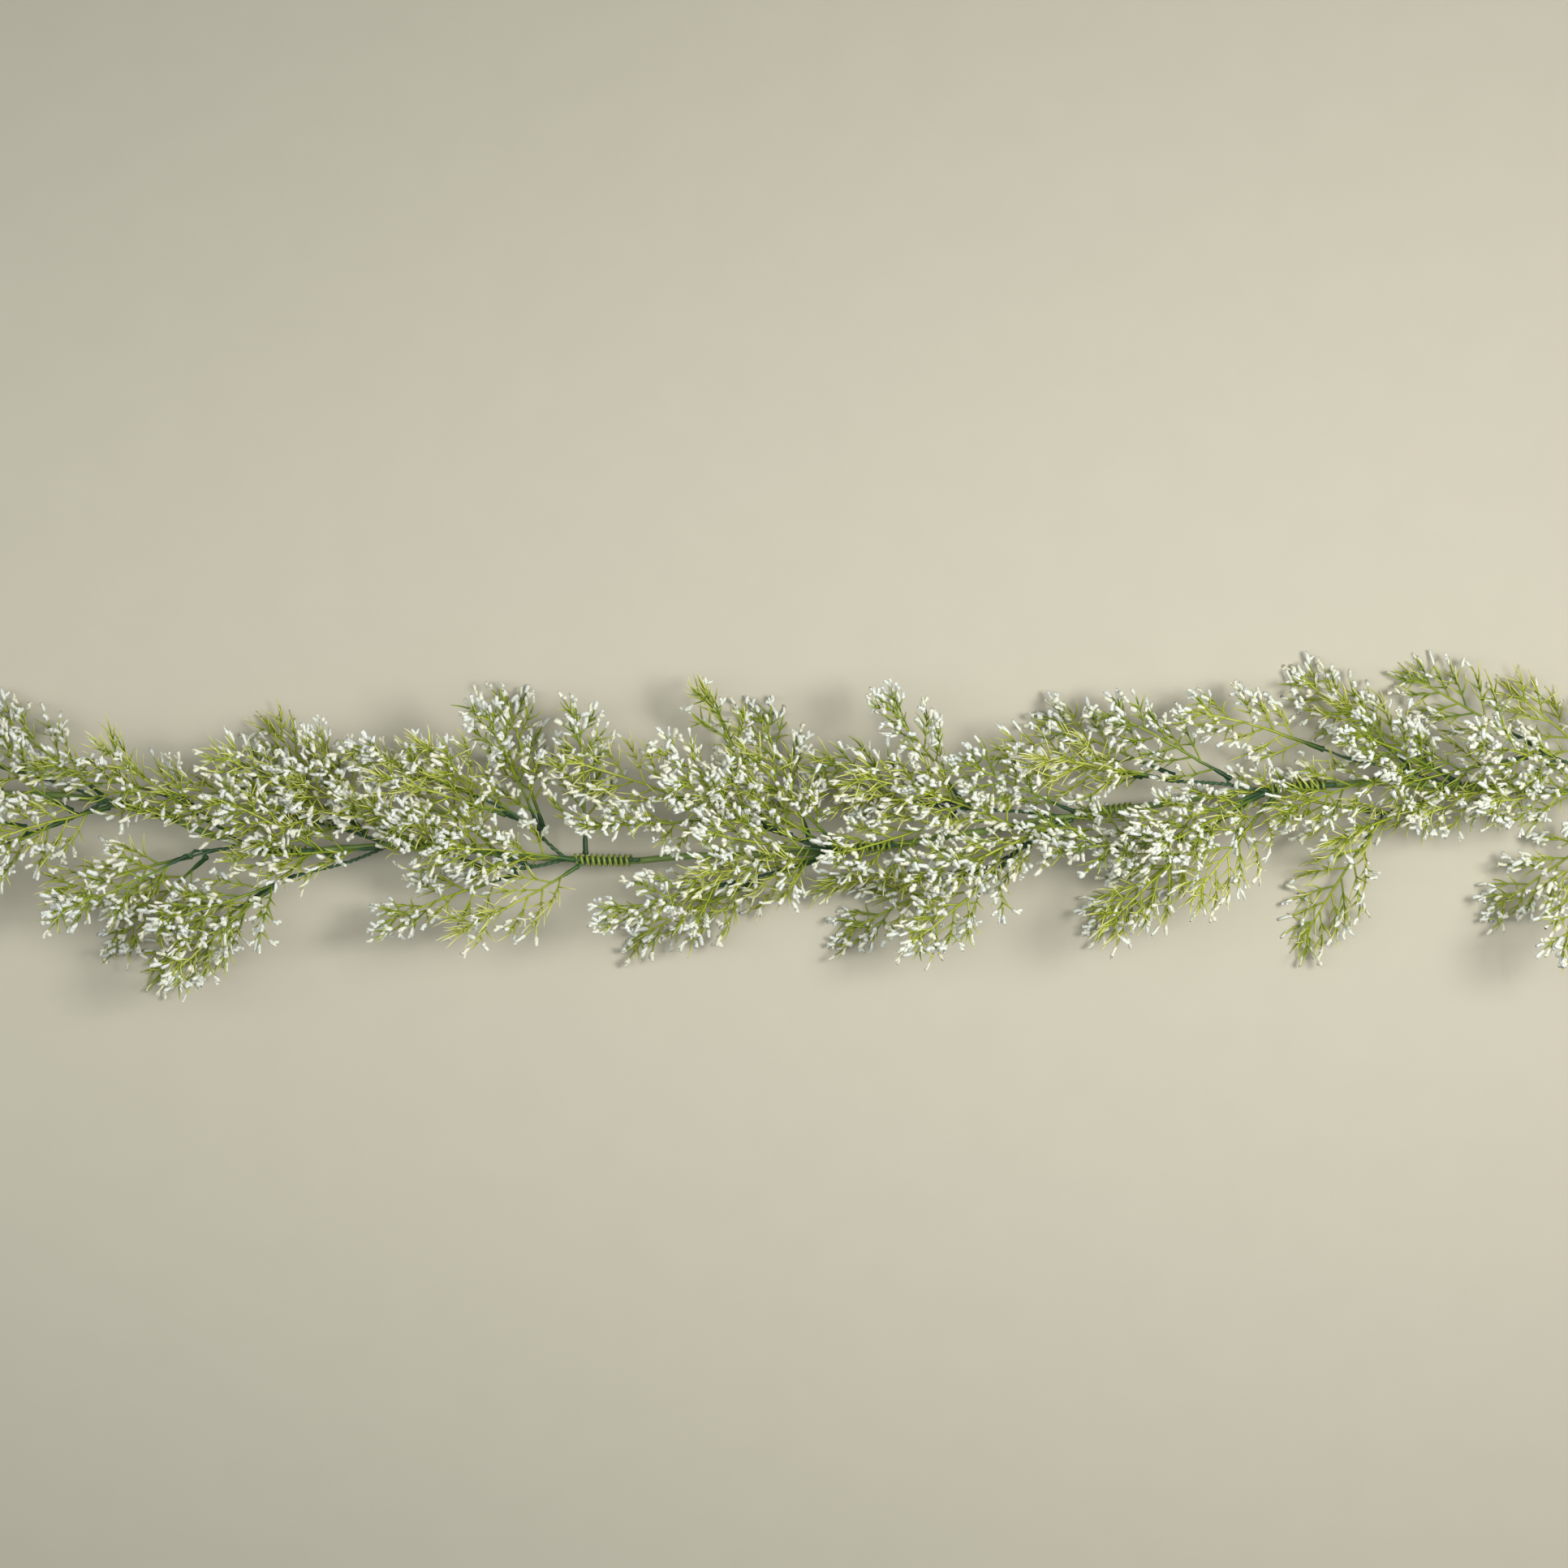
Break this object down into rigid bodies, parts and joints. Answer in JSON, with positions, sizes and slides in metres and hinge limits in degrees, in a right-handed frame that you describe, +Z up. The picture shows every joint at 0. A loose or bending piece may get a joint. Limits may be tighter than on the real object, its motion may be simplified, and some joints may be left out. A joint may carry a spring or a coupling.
{
  "type": "artificial flocked foliage garland",
  "caption": "Flexible garland of pale flocked artificial sprigs on forked stems bound to a wire-cored vine; it lies along a table, shelf or mantel",
  "frame": {"origin": "on the ground plane under the middle of the garland's box", "axes": "+X along the vine towards the end that the sprigs grow from, +Y across the garland, +Z up"},
  "size_m": [1.2642, 0.2098, 0.0825],
  "materials": {
    "vine": "mid green extruded plastic sleeve with fine lengthwise ridges, slight sheen",
    "core": "plain drawn steel wire inside the sleeve",
    "stem": "dark blue-green moulded plastic with bark-like bumps",
    "wire": "olive plastic-coated binding wire, soft sheen",
    "sprig": "moulded needles shading from green through lime to pale cream, with granular white flock on their tips"
  },
  "bodies": {
    "root": {"branch_stem_01": "stem", "binding_01": "wire", "branch_stem_02": "stem", "binding_02": "wire", "branch_stem_03": "stem", "binding_03": "wire", "branch_stem_04": "stem", "binding_04": "wire", "branch_stem_05": "stem", "binding_05": "wire", "branch_stem_06": "stem", "binding_06": "wire", "branch_stem_07": "stem", "binding_07": "wire", "branch_stem_08": "stem", "binding_08": "wire", "branch_stem_09": "stem", "binding_09": "wire", "branch_stem_10": "stem", "binding_10": "wire", "vine_sleeve": "vine", "vine_core_wire": "core", "sprig_01": "sprig", "sprig_02": "sprig", "sprig_03": "sprig", "sprig_04": "sprig", "sprig_05": "sprig", "sprig_06": "sprig", "sprig_07": "sprig", "sprig_08": "sprig", "sprig_09": "sprig", "sprig_10": "sprig", "sprig_11": "sprig", "sprig_12": "sprig", "sprig_13": "sprig", "sprig_14": "sprig", "sprig_15": "sprig", "sprig_16": "sprig", "sprig_17": "sprig", "sprig_18": "sprig", "sprig_19": "sprig", "sprig_20": "sprig", "sprig_21": "sprig", "sprig_22": "sprig", "sprig_23": "sprig", "sprig_24": "sprig", "sprig_25": "sprig", "sprig_26": "sprig", "sprig_27": "sprig", "sprig_28": "sprig", "sprig_29": "sprig", "sprig_30": "sprig", "sprig_31": "sprig", "sprig_32": "sprig", "sprig_33": "sprig", "sprig_34": "sprig"}
  },
  "joints": []
}
